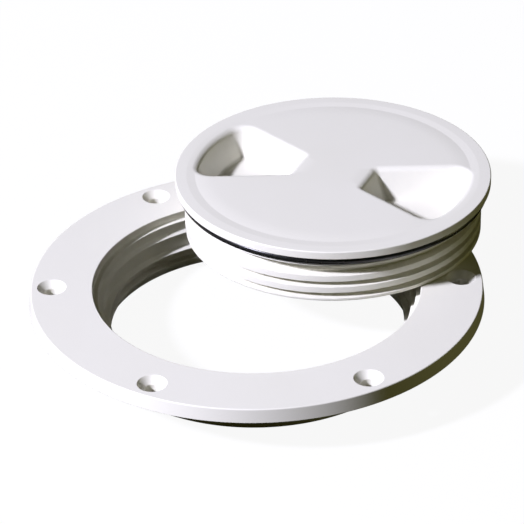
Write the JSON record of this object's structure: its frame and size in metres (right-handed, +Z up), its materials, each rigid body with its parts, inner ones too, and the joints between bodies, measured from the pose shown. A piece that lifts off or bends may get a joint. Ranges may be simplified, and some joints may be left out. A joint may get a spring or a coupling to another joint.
{
  "type": "deck inspection plate",
  "caption": "Round screw-down ring with a stepped, threaded bore, and its screw lid with finger recesses and a rubber O-ring laid on it.",
  "frame": {"origin": "on the ring's axis, in the plane of the flange's underside, which lies on the deck", "axes": "+Z up along the ring's axis, out of the deck; +X through one of the screw holes"},
  "size_m": [0.1501, 0.1603, 0.0397],
  "materials": {
    "ring_plastic": "moulded, satin, off-white",
    "lid_plastic": "moulded, satin, off-white",
    "seal_rubber": "moulded, black"
  },
  "bodies": {
    "ring": {"deck_ring": "ring_plastic"},
    "seal": {"o_ring": "seal_rubber"},
    "lid": {"screw_lid": "lid_plastic"}
  },
  "joints": [
    {"name": "lid_lift", "type": "slide", "parent": "ring", "child": "seal", "axis": [0, 0, 1], "range_m": [0, 0.06]},
    {"name": "lid_turn", "type": "hinge", "parent": "seal", "child": "lid", "pos_m": [0.0259, 0.0361, 0.0144], "axis": [0, 0, 1], "continuous": true}
  ]
}
